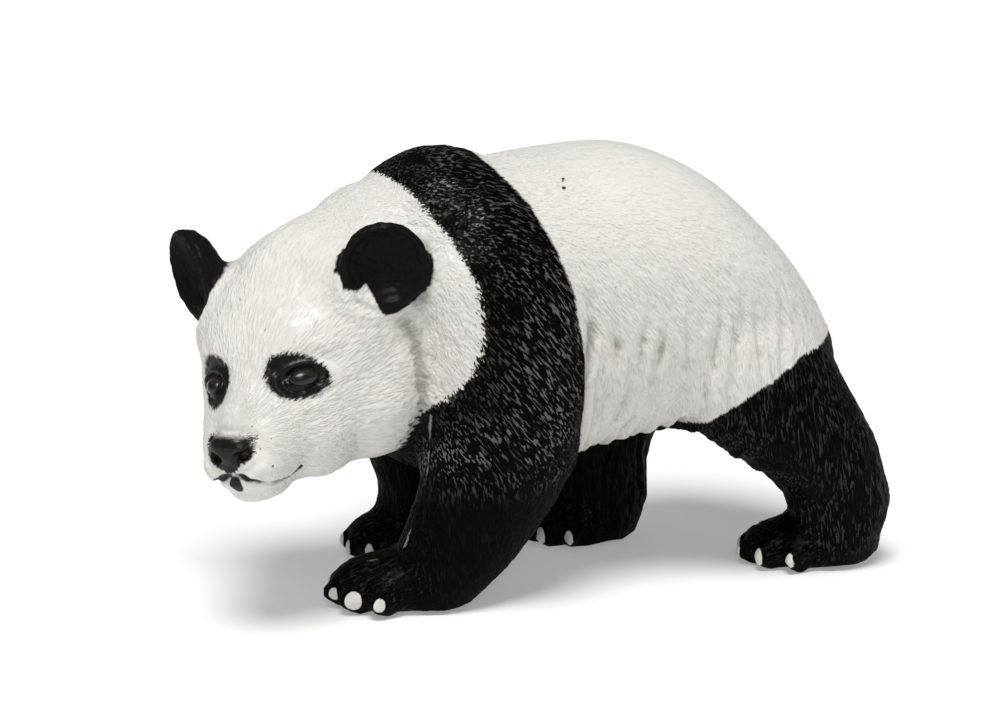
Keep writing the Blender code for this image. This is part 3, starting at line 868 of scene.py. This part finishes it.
def painted_vinyl():
    material = bpy.data.materials.new("painted_vinyl")
    material.use_nodes = True
    tree = material.node_tree
    shader = tree.nodes["Principled BSDF"]
    pen = Shade(tree)
    place = pen.node("ShaderNodeTexCoord", output="Object")
    place = pen.vectors("SUBTRACT", pen.scaled(place, 1 / MM), tuple(DRAWING_SHIFT))
    fine = pen.grain(place, 7.0, 3.0)
    broad = pen.grain(place, 0.25, 3.0)

    # Backs of the hairs, and which of them glint: there the black is painted lighter, a painted highlight,
    # and has more coat
    hair = drawn_hairs(pen, place)
    furry = pen.noted("furry")
    crest = (hair.ease(0.3, 0.7) - 0.5) * furry + 0.5
    glint_share = (hair + (fine - 0.5) * 0.1).ease(0.54, 0.61) * furry
    glint_share = glint_share * pen.grain(place, 0.3, 2.0).ease(0.25, 0.55) * pen.noted("sheen")
    # On the black of the ears, an even painted sheen
    glint_share = glint_share + pen.noted("comb_head") * (furry * 0.035 + 0.02)

    # Borders, each broken up as its brush left it
    feather = (hair - 0.5) * pen.noted("ragged") * 2.4
    feather = feather + (pen.noted("fur_tone") - 0.5) * 0.25 + (fine - 0.5) * 0.3
    coat = (pen.noted("coat") + feather).ease(-0.22, 0.22)
    patch = (pen.noted("eye_patch") + (hair - 0.5) * 0.9 + (fine - 0.5) * 0.7).ease(-0.2, 0.2)
    nose = (pen.noted("nose") + (hair - 0.5) * 1.8 + (fine - 0.5) * 0.5).ease(-0.1, 0.1)
    lips = (pen.noted("lips") + (fine - 0.5) * 0.16).ease(-0.08, 0.1)
    claws = (pen.noted("claws") + (fine - 0.5) * 0.15).ease(-0.04, 0.04)
    eyeball = pen.noted("eyeball").ease(-0.05, 0.08)
    pupil = pen.noted("eyeball").ease(0.5, 0.62)
    # The mould line's ridge, painted light as a highlight
    seam = pen.noted("seam").ease(-0.06, 0.06) * coat * 0.8

    # Paints, in the order in which they go on
    # Painted shade: the white turns grey low between the carved and drawn strands and in the hollows, with a
    # faint random mottle
    painted_shade_and_mottle = (1 - pen.noted("fur_top")).ease(0.3, 1.0) * 0.2 + (1 - crest) * 0.22
    painted_shade_and_mottle = painted_shade_and_mottle + pen.noted("recess").ease(0.1, 0.9) * 0.6 + (broad - 0.5) * 0.10
    paint = pen.mixed(painted_shade_and_mottle.ease(0.0, 1.0), PAINTS["white"], PAINTS["painted_shade_and_mottle"])
    # Painted highlight: the black is mixed toward the glint grey where the strands glint
    paint = pen.mixed(coat, paint, pen.mixed(glint_share, PAINTS["black"], PAINTS["glint"]))
    # Painted highlight along the mould line
    paint = pen.mixed(seam, paint, PAINTS["seam highlight"])
    paint = pen.mixed(patch, paint, PAINTS["eye patch"])
    paint = pen.mixed(nose, paint, PAINTS["nose"])
    paint = pen.mixed(lips, paint, PAINTS["lips"])
    paint = pen.mixed(flecks(pen, place, fine), paint, PAINTS["fleck"])
    paint = pen.mixed(claws, paint, PAINTS["claw"])
    paint = pen.mixed(eyeball, paint, pen.mixed(pupil, PAINTS["iris"], PAINTS["pupil"]))
    tree.links.new(paint.socket, shader.inputs["Base Color"])

    rough = 0.5 + coat * 0.10 + (broad - 0.5) * 0.12 - eyeball * 0.25 - nose * 0.05
    tree.links.new(rough.socket, shader.inputs["Roughness"])
    gloss = coat * (glint_share * 0.6 + 0.03) + (1 - coat) * 0.25 + eyeball * 0.5 + nose * 0.2 + patch * 0.08
    tree.links.new(gloss.socket, shader.inputs["Coat Weight"])
    shader.inputs["Coat Roughness"].default_value = 0.27
    shader.inputs["Specular IOR Level"].default_value = 0.03
    shader.inputs["IOR"].default_value = 1.5
    height = pen.grain(place, 7.0, 2.0) * 0.12 + crest
    bump = pen.node("ShaderNodeBump", None, {"Strength": 0.9, "Distance": 0.00011, "Height": height})
    tree.links.new(bump.socket, shader.inputs["Normal"])
    return material


# %% Dress the figure
hide.store()
hide.mesh.materials.clear()
hide.mesh.materials.append(painted_vinyl())
hide.mesh.shade_smooth()
hide.mesh.name = "panda_skin"
panda_skin = bpy.data.objects.new("panda_skin", hide.mesh)
bpy.context.scene.collection.objects.link(panda_skin)
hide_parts("panda")
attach(panda_skin, "root")
print("piece:", panda_skin.name, "with", len(hide.points), "points")

# %% [markdown]
# ## Floor, light and camera
# The figure was photographed on white under broad soft light from above, which leaves the back almost white
# and the belly grey. A pale floor that glows a little, one wide lamp over the back, a narrow one at the
# side for the strands to catch, and a pale sky give the same. The camera stands at the panda's left and a
# little ahead, about eight figure-heights away.

# %% Floor and lamps
def floor():
    mesh = bpy.data.meshes.new("floor")
    reach = 1.5
    corners = [(-reach, -reach, 0), (reach, -reach, 0), (reach, reach, 0), (-reach, reach, 0)]
    mesh.from_pydata(corners, [], [(0, 1, 2, 3)])
    made = bpy.data.objects.new("floor", mesh)
    bpy.context.scene.collection.objects.link(made)
    material = bpy.data.materials.new("pale_floor")
    material.use_nodes = True
    shader = material.node_tree.nodes["Principled BSDF"]
    shader.inputs["Base Color"].default_value = colour(0.72, 0.72, 0.72)
    shader.inputs["Emission Color"].default_value = colour(1.0, 1.0, 1.0)
    shader.inputs["Emission Strength"].default_value = 0.27
    shader.inputs["Roughness"].default_value = 0.9
    shader.inputs["Specular IOR Level"].default_value = 0.1
    mesh.materials.append(material)


def lamp(name, place, strength, softness):
    """A lamp far off, beyond a place, so that the whole floor is lit alike. Softness is in degrees."""
    data = bpy.data.lights.new(name, "SUN")
    data.energy = strength
    data.angle = math.radians(softness)
    made = bpy.data.objects.new(name, data)
    made.location = Vector(place) * MM
    made.rotation_mode = "QUATERNION"
    made.rotation_quaternion = (-Vector(place)).to_track_quat("-Z", "Y")
    bpy.context.scene.collection.objects.link(made)


floor()
lamp("overhead", (110, -80, 380), 2.8, 26)
lamp("side_strip", (360, -90, 210), 0.22, 12)
sky = bpy.data.worlds.new("pale_sky")
sky.use_nodes = True
sky.node_tree.nodes["Background"].inputs["Color"].default_value = colour(1.0, 1.0, 1.0)
sky.node_tree.nodes["Background"].inputs["Strength"].default_value = 0.21
bpy.context.scene.world = sky
bpy.context.scene.view_settings.view_transform = "Standard"
print("floor and lamps placed")

# %% Camera
# The point that the camera looks at, where it lies in the photograph, and the photograph's size
AIM = np.array((-10.0, 0.0, 22.0)) + DRAWING_SHIFT
AIM_PIXEL = (545, 370)
PHOTO = (1000, 707)
CAMERA_DISTANCE = 420
azimuth, elevation = math.radians(66), math.radians(14)
back = Vector((
    math.sin(azimuth) * math.cos(elevation),
    -math.cos(azimuth) * math.cos(elevation),
    math.sin(elevation),
))
lens = bpy.data.cameras.new("photo_view")
lens.lens = 121
lens.sensor_width = 36
lens.clip_start = 0.01
lens.clip_end = 20
lens.shift_x = (PHOTO[0] / 2 - AIM_PIXEL[0]) / PHOTO[0]
lens.shift_y = (AIM_PIXEL[1] - PHOTO[1] / 2) / PHOTO[0]
camera = bpy.data.objects.new("photo_view", lens)
camera.location = (Vector(AIM) + back * CAMERA_DISTANCE) * MM
camera.rotation_mode = "QUATERNION"
camera.rotation_quaternion = (-back).to_track_quat("-Z", "Y")
bpy.context.scene.collection.objects.link(camera)
bpy.context.scene.camera = camera
print("camera at", [round(v, 3) for v in camera.location])
